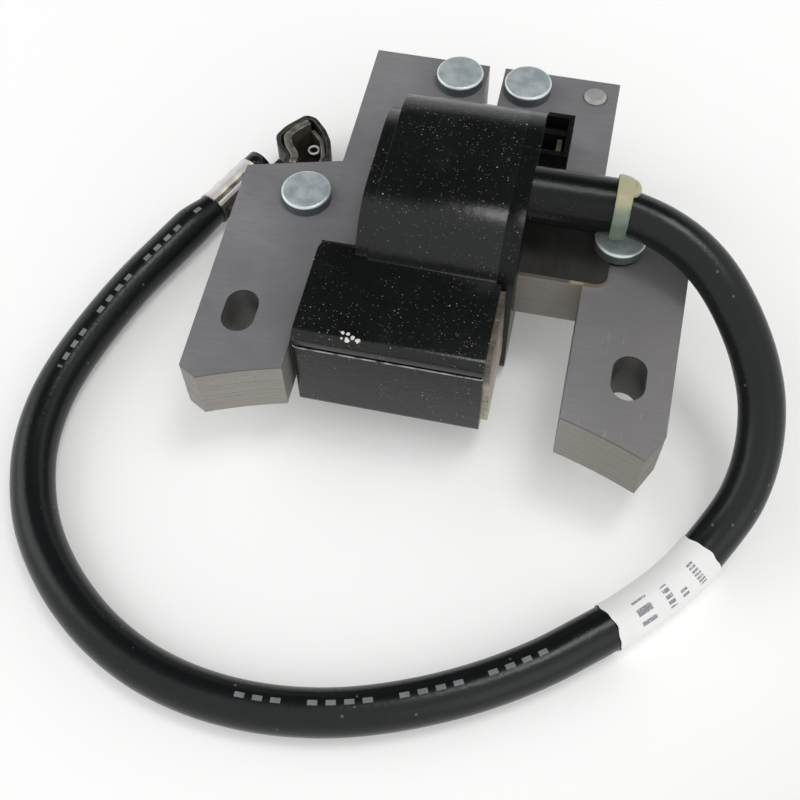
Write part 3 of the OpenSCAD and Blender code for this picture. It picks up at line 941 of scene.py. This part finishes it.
resin = Finish("potting resin", IOR=1.5, Subsurface_Weight=0.1, Subsurface_Scale=0.002)
flow = resin.noise(520, 4, 0.65)
cream = resin.blend(flow.step(0.35, 0.65), (0.20, 0.155, 0.12), (0.47, 0.395, 0.33))
high = resin.axis("Z").step(0.0075, 0.0125)
cream = resin.blend(high * 0.85, cream, (0.045, 0.042, 0.030))
low_part = 1 - resin.axis("Z").step(0.0, 0.006)
cream = resin.blend(low_part * 0.7, cream, (0.46, 0.45, 0.29))
blot = resin.noise(900, 4).step(0.52, 0.62)
cream = resin.blend(blot * 0.55, cream, (0.12, 0.10, 0.075))
resin.wire("Base Color", cream)
resin.wire("Roughness", resin.noise(500, 3) * 0.3 + 0.2)
resin.bump(flow + resin.noise(350, 3), 0.0003)
wear(potting, resin.material)
hand_over(potting, "potting_cream", "potting_compound")

# %% [markdown]
# ## The glue seal
# Where the lead enters the tower a ring of clear glue seals it. Glue is never even, so a
# thick washer is cut out of a cylinder, its outline is made to wander, and one fat bead
# sits on top.

# %% The seal
seal_low, seal_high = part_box("tower_seal")
SEAL_R = (seal_high.z - seal_low.z) / 2
SEAL_MID = (seal_low + seal_high) / 2
WIDTH = seal_high.x - seal_low.x
WANDER = 0.10
TAPER = 0.16
fresh()
bpy.ops.mesh.primitive_cylinder_add(vertices=56, radius=SEAL_R, depth=WIDTH,
                                    end_fill_type="NGON", location=SEAL_MID,
                                    rotation=(0, math.radians(90), 0))
seal = settle(named("glue_seal"))
pick_faces(seal, lambda spot, normal: abs(normal.x) > 0.9)
bpy.ops.mesh.inset(thickness=SEAL_R - LEAD_RADIUS, use_boundary=True)
bpy.ops.mesh.delete(type="FACE")
bpy.ops.mesh.select_mode(type="EDGE")
bpy.ops.mesh.select_all(action="DESELECT")
bpy.ops.mesh.select_non_manifold()
bpy.ops.mesh.bridge_edge_loops()
bpy.ops.mesh.select_all(action="SELECT")
bpy.ops.mesh.subdivide(number_cuts=2)
leave_edit()
for vertex in seal.data.vertices:
    around = vertex.co - SEAL_MID
    angle = math.atan2(around.z, around.y)
    radius = Vector((0, around.y, around.z)).length
    outside = max(0, (radius - LEAD_RADIUS) / (SEAL_R - LEAD_RADIUS))
    wave = 0.5 + 0.5 * math.sin(3 * angle + 1) * math.cos(5 * angle)
    shrink = 1 - WANDER * wave * outside - TAPER * max(0, around.x / WIDTH) * outside
    vertex.co.y = SEAL_MID.y + around.y * shrink
    vertex.co.z = SEAL_MID.z + around.z * shrink
rounding = seal.modifiers.new("rounding", "BEVEL")
rounding.width = 0.5 * MM
rounding.segments = 3
rounding.angle_limit = math.radians(40)
apply_all(seal)
outward(seal)
smooth(seal, 60)
print("seal faces:", len(seal.data.polygons))

# %% The bead on the seal
BEAD_AT = SEAL_MID + Vector((1.1, 0.8, 3.7)) * MM
BEAD_R = 1.15 * MM
BEAD_LUMPS = 0.16
fresh()
bpy.ops.mesh.primitive_uv_sphere_add(segments=28, ring_count=18, radius=BEAD_R,
                                     location=BEAD_AT)
bead = settle(named("glue_bead"))
for vertex in bead.data.vertices:
    spot = vertex.co
    lump = math.sin(spot.y * 2100) * math.cos(spot.x * 1900 + 0.5)
    vertex.co += (spot - SEAL_MID).normalized() * BEAD_LUMPS * MM * lump
edit_all(bead)
bpy.ops.transform.resize(value=(1.1, 1.5, 0.75), center_override=BEAD_AT)
leave_edit()
smooth(bead, 60)

glue = Finish("sealing glue", IOR=1.46, Transmission_Weight=0.25, Subsurface_Weight=0.3,
              Subsurface_Scale=0.003)
murk = glue.noise(380, 4)
tint = glue.blend(murk, (0.13, 0.18, 0.13), (0.30, 0.36, 0.28))
yellow = glue.axis("Z").step(SEAL_MID.z + 2.6 * MM, SEAL_MID.z + 4.2 * MM)
glue.wire("Base Color", glue.blend(yellow, tint, (0.50, 0.48, 0.30)))
glue.wire("Roughness", glue.noise(300, 3) * 0.3 + 0.25)
glue.bump(murk + glue.noise(900, 2) * 0.3, 0.0002)
for piece in (seal, bead):
    wear(piece, glue.material)
hand_over(seal, "seal_glue", "tower_seal")
hand_over(bead, "seal_glue")

# %% [markdown]
# ## The spark plug clip
# The clip is folded from spring steel: a U of sheet whose walls bend in to grip the
# plug's nut, a strap, and a crimp that is closed round the end of the lead. A strip of
# faces is drawn along the fold line, raised to its height, and given its thickness.

# %% Fold a strip of sheet metal
def folded(name, corners, low, high, thick):
    """A strip of sheet that stands from low to high and follows the corners, in mm."""
    fresh()
    bpy.ops.mesh.primitive_plane_add(size=1)
    strip = named(name)
    mesh = bmesh.new()
    floor_row = [mesh.verts.new((x * MM, y * MM, low * MM)) for x, y in corners]
    top_row = [mesh.verts.new((x * MM, y * MM, high * MM)) for x, y in corners]
    for i in range(len(corners) - 1):
        mesh.faces.new((floor_row[i], floor_row[i + 1], top_row[i + 1], top_row[i]))
    mesh.to_mesh(strip.data)
    mesh.free()
    bends = strip.modifiers.new("bends", "BEVEL")
    bends.width = 0.55 * MM
    bends.segments = 4
    bends.angle_limit = math.radians(8)
    sheet = strip.modifiers.new("sheet", "SOLIDIFY")
    sheet.thickness = thick * MM
    sheet.offset = 0
    apply_all(strip)
    rounding = strip.modifiers.new("rounding", "BEVEL")
    rounding.width = 0.12 * MM
    rounding.segments = 2
    apply_all(strip)
    outward(strip)
    return smooth(strip, 50)


# %% The clip's walls
clip_low, clip_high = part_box("plug_terminal")
CLIP_BASE = clip_low.z / MM + 0.1
CLIP_TOP = clip_high.z / MM
outer_wall = folded("clip_outer", [
    (-35.2, 41.4), (-35.4, 43.6), (-37.4, 45.4), (-38.3, 47.6), (-37.2, 50.0),
    (-34.4, 53.3), (-32.7, 53.0), (-30.4, 50.6), (-28.9, 48.2), (-28.0, 45.0),
    (-28.6, 43.4),
], CLIP_BASE, CLIP_TOP, 0.9)
inner_wall = folded("clip_inner", [
    (-34.0, 41.6), (-34.0, 43.6), (-35.8, 45.8), (-36.6, 47.8), (-35.4, 50.0),
    (-33.5, 52.0),
], CLIP_BASE + 0.4, CLIP_TOP + 0.2, 1.4)
grip_wall = folded("clip_grip", [
    (-32.9, 51.6), (-30.6, 49.6), (-29.9, 47.6), (-29.3, 45.4), (-29.6, 43.8),
], CLIP_BASE + 0.4, CLIP_TOP - 1.6, 0.8)
print("clip from", CLIP_BASE, "to", CLIP_TOP, "mm")

# %% The clip's floor, its spring and the strap
FLOOR_AT = (-32.6 * MM, 46.6 * MM, (CLIP_BASE + 0.4) * MM)
FLOOR_SIZE = (6.2 * MM, 8.6 * MM, 0.8 * MM)
SPRING_AT = (-31.9 * MM, 48.3 * MM, -5.2 * MM)
SPRING_R = 0.95 * MM
SPRING_WIRE_R = 0.24 * MM
fresh()
bpy.ops.mesh.primitive_cube_add(size=1, location=FLOOR_AT)
plate = named("clip_floor")
plate.scale = FLOOR_SIZE
settle(plate)
soften(plate, 0.25 * MM)
fresh()
bpy.ops.mesh.primitive_torus_add(major_radius=SPRING_R, minor_radius=SPRING_WIRE_R,
                                 major_segments=40, minor_segments=12,
                                 location=SPRING_AT)
spring = settle(named("clip_spring"))
smooth(spring, 60)

end = ROUTE[LAST] / MM
lead_way = heading(LAST)
across = Vector((0, 0, 1)).cross(lead_way)
beside = across * 3.9
strap_from = end - lead_way * 14 - beside
strap_mid = end - beside
strap = folded("clip_strap", [
    (strap_from.x, strap_from.y), (strap_mid.x, strap_mid.y),
    (end.x + 3.6, end.y - 1.2), (-35.2, 42.4), (-33.4, 42.8),
], CLIP_BASE + 1.4, CLIP_BASE + 5.6, 0.7)
print("strap from", tuple(strap_from))

# %% [markdown]
# ## The crimp
# A sleeve of bright tinned sheet is pressed round the end of the lead. It is swept along
# the lead like the label, dented by the pliers, and has two ears folded over beside it.

# %% The crimp
CRIMP_FROM = 34.05
CRIMP_TO = 35.5
CRIMP_R = 3.0 * MM
CRIMP_ROWS = 24
CRIMP_SIDES = 48
EARS_AT = 34.5
EAR_LEAN = math.radians(-38)
crimp_places = spaced(CRIMP_FROM, CRIMP_TO, CRIMP_ROWS)
crimp = swept("clip_crimp", crimp_places, CRIMP_R, CRIMP_SIDES, closed_ends=False)
for vertex in crimp.data.vertices:
    share = (vertex.index // CRIMP_SIDES) / (CRIMP_ROWS - 1)
    centre = on_route(CRIMP_FROM + (CRIMP_TO - CRIMP_FROM) * share)
    away = (vertex.co - centre).normalized()
    dents = 0.22 * MM * math.sin(share * 9) ** 2
    flare = 0.15 * MM * max(0, 1 - share * 6)
    vertex.co += away * (flare - dents * (0.4 + 0.6 * abs(away.z)))
    vertex.co += pulled(LAST)
wall = crimp.modifiers.new("sheet", "SOLIDIFY")
wall.thickness = 0.4 * MM
wall.offset = -1
apply_all(crimp)
smooth(crimp, 40)
ear_at = on_route(EARS_AT) + pulled(LAST)
turn_to_lead = Matrix.Rotation(math.atan2(lead_way.y, lead_way.x), 4, "Z")


def ear(name, size, lift, lean):
    """A flat tongue of the crimp, lift mm above the lead and lean mm beside it."""
    fresh()
    bpy.ops.mesh.primitive_cube_add(size=1, location=(0, 0, 0))
    tongue = named(name)
    tongue.scale = Vector(size) * MM
    settle(tongue)
    soften(tongue, 0.15 * MM)
    moved = Matrix.Translation(ear_at - across * lean * MM + Vector((0, 0, lift * MM)))
    tongue.data.transform(moved @ turn_to_lead @ Matrix.Rotation(EAR_LEAN, 4, "X"))
    return tongue


bright_ear = ear("clip_ear_edge", (7.2, 0.7, 0.8), 2.6, 2.0)
# Painted shade: this ear is dark steel, for the shade on the crimp's far side.
painted_shade_ear = ear("clip_ear", (6.4, 0.6, 3.2), 0.6, 3.1)
print("crimp faces:", len(crimp.data.polygons))

# %% Spring steel and the bright crimp
def tarnished(name, dark, light, edge):
    """Spring steel: brown-black in its hollows, with a painted highlight, broken up by
    noise, on its upper edges.
    """
    steel = Finish(name, IOR=1.6, Metallic=0.6)
    tarnish = steel.noise(230, 4, 0.65)
    worn = steel.blend(tarnish, dark, light)
    # Painted highlight: the upward faces of the edges are made lighter.
    painted_edge_highlight = steel.facing_up() * steel.noise(700, 3).step(0.3, 0.6)
    steel.wire("Base Color", steel.blend(painted_edge_highlight * 0.8, worn, edge))
    steel.wire("Roughness", steel.noise(600, 3) * 0.2 + 0.26)
    steel.bump(tarnish, 0.00005)
    return steel.material


spring_dark = tarnished("dark spring steel", (0.012, 0.011, 0.009), (0.06, 0.055, 0.045),
                        (0.11, 0.10, 0.085))
# The lighter copy is the same spring steel, painted lit, for the walls that catch the
# light.
painted_lit_spring_steel = tarnished("rubbed spring steel", (0.06, 0.055, 0.045), (0.20, 0.19, 0.16),
                         (0.38, 0.36, 0.31))
bright = Finish("bright tin", IOR=1.6, Metallic=0.4)
brushed = bright.noise(1, 4, 0.6, bright.stretched(2500, 500, 500))
turn = bright.tube("Y")
shaded_side = turn.step(0.285, 0.30) * (1 - turn.step(0.80, 0.85))
# Painted highlight: a pale yellow line along the crimp's fold.
painted_fold_highlight = turn.step(0.245, 0.26) * (1 - turn.step(0.285, 0.30))
tin = bright.blend(brushed, (0.60, 0.565, 0.56), (0.84, 0.80, 0.79))
tin = bright.blend(painted_fold_highlight, tin, (0.85, 0.82, 0.62))
bright.wire("Base Color", bright.blend(shaded_side * 0.93, tin, (0.05, 0.045, 0.04)))
bright.wire("Roughness", brushed * 0.2 + 0.3)
bright.bump(brushed, 0.00005)

# %% Join the clip and the crimp, and hand over the lead
# The ear in dark steel is painted shade.
for piece in (outer_wall, plate, strap, painted_shade_ear):
    wear(piece, spring_dark)
# Painted light: the inner and grip walls wear the lit copy of the steel.
for piece in (inner_wall, grip_wall):
    wear(piece, painted_lit_spring_steel)
for piece in (crimp, bright_ear, spring):
    wear(piece, bright.material)
clip = joined([outer_wall, inner_wall, grip_wall, plate, strap, spring], "plug_clip")
crimp = joined([crimp, bright_ear, painted_shade_ear], "plug_crimp")
hand_over(clip, "clip_steel", "plug_terminal")
hand_over(crimp, "clip_steel")
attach(lead, "root")
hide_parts("lead_jacket")

# %% [markdown]
# ## Finishes for the CAD pieces that stay
# The small solids and the parts sealed in the resin keep their CAD shape. Each still
# gets a finish with grain, because an exploded view would show it.

# %% A finish from two colours
def two_tone(name, dark, light, scale, rough, metallic=0.0, stretch=None):
    """Grain between two colours, stretched for drawn metal."""
    made = Finish(name, Metallic=metallic)
    at = made.stretched(*stretch) if stretch else made.place
    grain = made.noise(1 if stretch else scale, 4, 0.6, at)
    made.wire("Base Color", made.blend(grain, dark, light))
    made.wire("Roughness", grain * 0.2 + rough)
    made.bump(grain, 0.00004)
    return made.material


tab_steel = Finish("tab steel", IOR=1.5)
up = tab_steel.facing_up()
streak = tab_steel.noise(1, 4, 0.6, tab_steel.stretched(900, 200, 900))
dark_top = tab_steel.blend(streak, (0.012, 0.0115, 0.010), (0.032, 0.030, 0.027))
# Painted highlight: the tab's cut edge turns gold at its tip.
painted_tip_highlight = tab_steel.axis("X").step(0.0185, 0.0195)
cut_edge = tab_steel.blend(painted_tip_highlight, (0.16, 0.145, 0.12), (0.60, 0.50, 0.32))
# Painted shade: the cut edge is dark where it runs under the rivet.
painted_shade_under_rivet = tab_steel.axis("Y").step(0.0165, 0.0175)
cut_edge = tab_steel.blend(painted_shade_under_rivet, cut_edge, (0.03, 0.028, 0.025))
tab_steel.wire("Base Color", tab_steel.blend(up, cut_edge, dark_top))
tab_steel.wire("Metallic", 1 - up)
tab_steel.wire("Roughness", streak * 0.2 + 0.3)
tab_steel.bump(streak, 0.00003)

# %% Finishes for the CAD nodes
pin_steel = two_tone("pin steel", (0.30, 0.29, 0.285), (0.50, 0.49, 0.475), 500, 0.35,
                     0.35)
copper = two_tone("enamelled copper", (0.42, 0.14, 0.05), (0.72, 0.30, 0.12), 0, 0.25,
                  0.9, (4200, 200, 200))
nylon = two_tone("natural nylon", (0.62, 0.58, 0.47), (0.74, 0.70, 0.60), 400, 0.4)
board = two_tone("circuit board", (0.02, 0.12, 0.04), (0.05, 0.22, 0.08), 900, 0.35)
component = two_tone("black component", (0.012, 0.012, 0.013), (0.03, 0.03, 0.032), 700,
                     0.4)
resistor = two_tone("resistor body", (0.42, 0.30, 0.16), (0.58, 0.45, 0.28), 600, 0.4)
brass = two_tone("tarnished brass", (0.09, 0.075, 0.045), (0.24, 0.20, 0.12), 900, 0.35,
                 0.9)

for node, finish in {
    "ground_tab": tab_steel.material, "locating_pin": pin_steel,
    "primary_bobbin": nylon, "secondary_bobbin": nylon,
    "primary_winding": copper, "secondary_winding": copper, "primary_wires": copper,
    "ht_link_wire": copper, "circuit_board": board,
    "switching_transistor": component, "board_diode": component,
    "trigger_resistor": resistor, "ht_contact_pin": brass, "stop_terminal": brass,
}.items():
    wear(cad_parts[node], finish)
wear(strands, copper)
hand_over(strands, "copper_wire", "lead_conductor")
print("CAD finishes set")

# %% [markdown]
# ## Crumbs on the box
# A few pale crumbs of old sealant cling to the box's front lip. They are one small piece:
# a handful of lumps, each a subdivided ball dented by a seeded draw and pressed flat.

# %% Crumbs
crumb_draw = random.Random(3)
LIP = Vector((-10.9 * MM, box_low.y + 1.2 * MM, BOX_TOP + 0.1 * MM))
CRUMBS = 8
FLATTEN = 0.7
SUNK = 0.05 * MM
crumbs = []
for i in range(CRUMBS):
    size = crumb_draw.uniform(0.14, 0.46) * MM
    away = Vector((crumb_draw.gauss(0, 0.8), crumb_draw.gauss(0, 0.6), 0)) * MM
    fresh()
    spot = LIP + away
    bpy.ops.mesh.primitive_ico_sphere_add(subdivisions=2, radius=size, location=spot)
    lump = settle(named(f"crumb_{i}"))
    for vertex in lump.data.vertices:
        vertex.co += (vertex.co - LIP - away) * crumb_draw.uniform(-0.3, 0.25)
        vertex.co.z = BOX_TOP - SUNK + (vertex.co.z - BOX_TOP) * FLATTEN
    crumbs.append(smooth(lump, 40))
crumbs = joined(crumbs, "crumbs")
crumb_finish = two_tone("old sealant", (0.50, 0.49, 0.44), (0.85, 0.84, 0.78), 1500, 0.6)
wear(crumbs, crumb_finish)
hand_over(crumbs, "label_white")

# %% [markdown]
# ## Table and light
# The table is a pale sheet, with a painted shade in a band towards one corner, and it glows
# faintly, painted light that lightens its shadows. The light is that of a bright room: a
# soft lamp nearly overhead, a wide soft one from the left and a weak fill from the front
# right. The room has a dim wall behind the table, which keeps the level black faces black.

# %% Table
TABLE_SIZE = 12
fresh()
bpy.ops.mesh.primitive_plane_add(size=TABLE_SIZE, location=(0, 0, cad_low.z))
floor = settle(named("floor"))
floor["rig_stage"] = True
# The faint emission is painted light: the table glows to lighten the shadows on it.
table = Finish("pale table", Roughness=0.7, Specular_IOR_Level=0.2,
               Emission_Strength=0.15, Emission_Color=(1, 1, 0.98, 1))
pale = table.blend(table.noise(4, 2, 0.5), (0.83, 0.83, 0.815), (0.86, 0.86, 0.845))
# Painted shade: the table darkens in a soft band towards its front right corner.
away = table.axis("X") - table.axis("Y")
corner = away.step(0.07, 0.17) * (1 - away.step(0.17, 0.32))
table.wire("Base Color", table.blend(corner * 0.8, pale, (0.62, 0.60, 0.585)))
wear(floor, table.material)
print("table at", cad_low.z)

# %% Lights
def soft_light(name, place, width, watts, tint=(1, 1, 1)):
    """A square lamp that looks at the origin."""
    data = bpy.data.lights.new(name, "AREA")
    data.size = width
    data.energy = watts
    data.color = tint
    light = bpy.data.objects.new(name, data)
    light.location = place
    light.rotation_euler = (-Vector(place)).to_track_quat("-Z", "Y").to_euler()
    bpy.context.scene.collection.objects.link(light)


soft_light("overhead", (0.20, 0.14, 0.95), 0.30, 2.2)
soft_light("left", (-0.75, 0.05, 0.55), 0.55, 1.2, (0.97, 0.99, 1))
soft_light("fill", (0.5, -0.45, 0.35), 0.5, 0.5, (1, 0.98, 0.96))
print("lights:", len(bpy.data.lights))

# %% A room with a dim back wall
ROOM_LIGHT = 0.92
WALL_LIGHT = 0.03
WALL_WAY = (-0.10, 0.57, 0.82)
WALL_EDGE = (0.74, 0.93)
room = bpy.data.worlds.new("room")
room.use_nodes = True
nodes = room.node_tree.nodes
links = room.node_tree.links
way = nodes.new("ShaderNodeTexCoord")
toward = nodes.new("ShaderNodeVectorMath")
toward.operation = "DOT_PRODUCT"
toward.inputs[1].default_value = WALL_WAY
wall = nodes.new("ShaderNodeMapRange")
wall.interpolation_type = "SMOOTHSTEP"
ends = (*WALL_EDGE, ROOM_LIGHT, WALL_LIGHT)
for socket, value in zip(("From Min", "From Max", "To Min", "To Max"), ends):
    wall.inputs[socket].default_value = value
links.new(way.outputs["Generated"], toward.inputs[0])
links.new(toward.outputs["Value"], wall.inputs["Value"])
links.new(wall.outputs["Result"], nodes["Background"].inputs["Strength"])
nodes["Background"].inputs["Color"].default_value = (0.98, 0.99, 1, 1)
bpy.context.scene.world = room
bpy.context.scene.view_settings.view_transform = "Standard"
print("room light", ROOM_LIGHT)

# %% [markdown]
# ## Sizes
# Both boxes are printed: the CAD box at the start, and the visual model's box here. The
# visual model has to stay inside the CAD box.

# %% Sizes
low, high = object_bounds()
print("visual box:", tuple(low), tuple(high))
